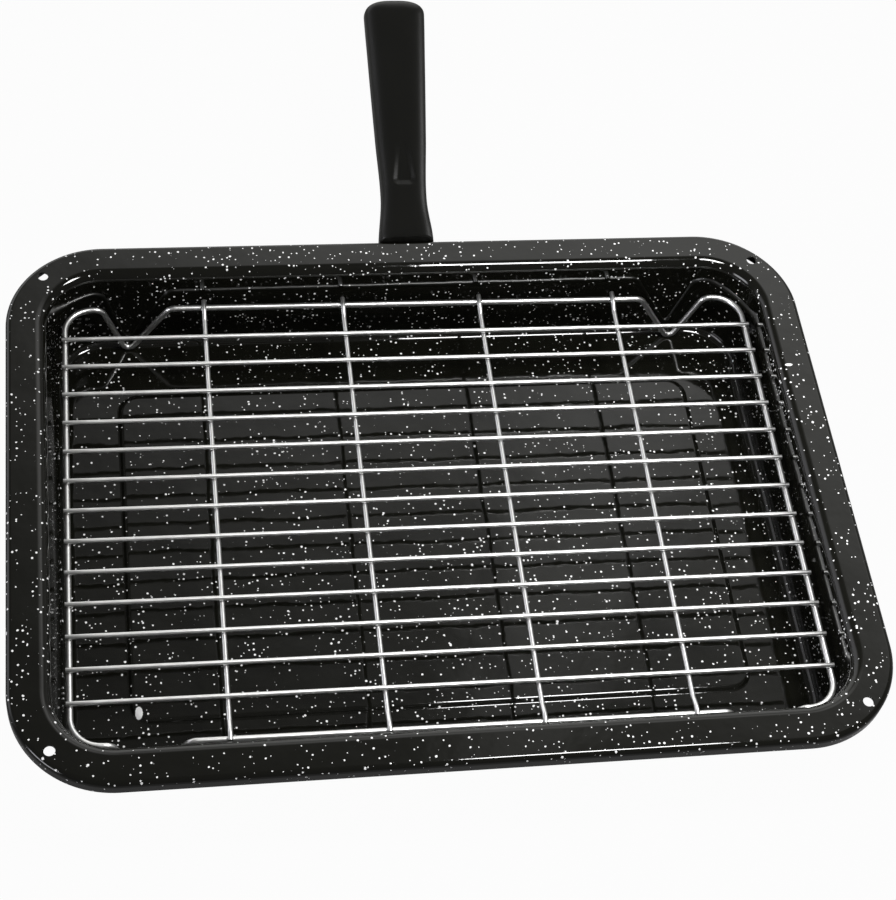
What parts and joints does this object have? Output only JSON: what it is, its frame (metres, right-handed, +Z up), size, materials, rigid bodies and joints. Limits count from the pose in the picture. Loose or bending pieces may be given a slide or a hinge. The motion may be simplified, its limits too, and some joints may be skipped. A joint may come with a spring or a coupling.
{
  "type": "broiler pan",
  "caption": "Enamelled grill pan with a turned-down rim, a chromed wire rack standing in it on bent feet, and a detachable black handle hooked on behind the rim.",
  "frame": {"origin": "middle of the tray's plan, on the surface that the tray stands on", "axes": "+Z up, +Y from the tray's front to its rear edge, where the handle is, +X to the right seen from the front"},
  "size_m": [0.38, 0.3914, 0.1063],
  "materials": {
    "enamel": "gloss enamel with fine white specks",
    "wire": "bright plated wire",
    "grip": "satin moulded heat-resistant plastic",
    "bracket_steel": "zinc-plated strip and screws"
  },
  "bodies": {
    "root": {"tray": "enamel", "rack_frame_wire": "wire", "rack_runner_1": "wire", "rack_runner_2": "wire", "rack_runner_3": "wire", "rack_runner_4": "wire", "rack_cross_wire_01": "wire", "rack_cross_wire_02": "wire", "rack_cross_wire_03": "wire", "rack_cross_wire_04": "wire", "rack_cross_wire_05": "wire", "rack_cross_wire_06": "wire", "rack_cross_wire_07": "wire", "rack_cross_wire_08": "wire", "rack_cross_wire_09": "wire", "rack_cross_wire_10": "wire", "rack_cross_wire_11": "wire", "rack_cross_wire_12": "wire", "rack_cross_wire_13": "wire", "handle_bracket": "bracket_steel", "handle_grip": "grip", "handle_screws": "bracket_steel"}
  },
  "joints": []
}
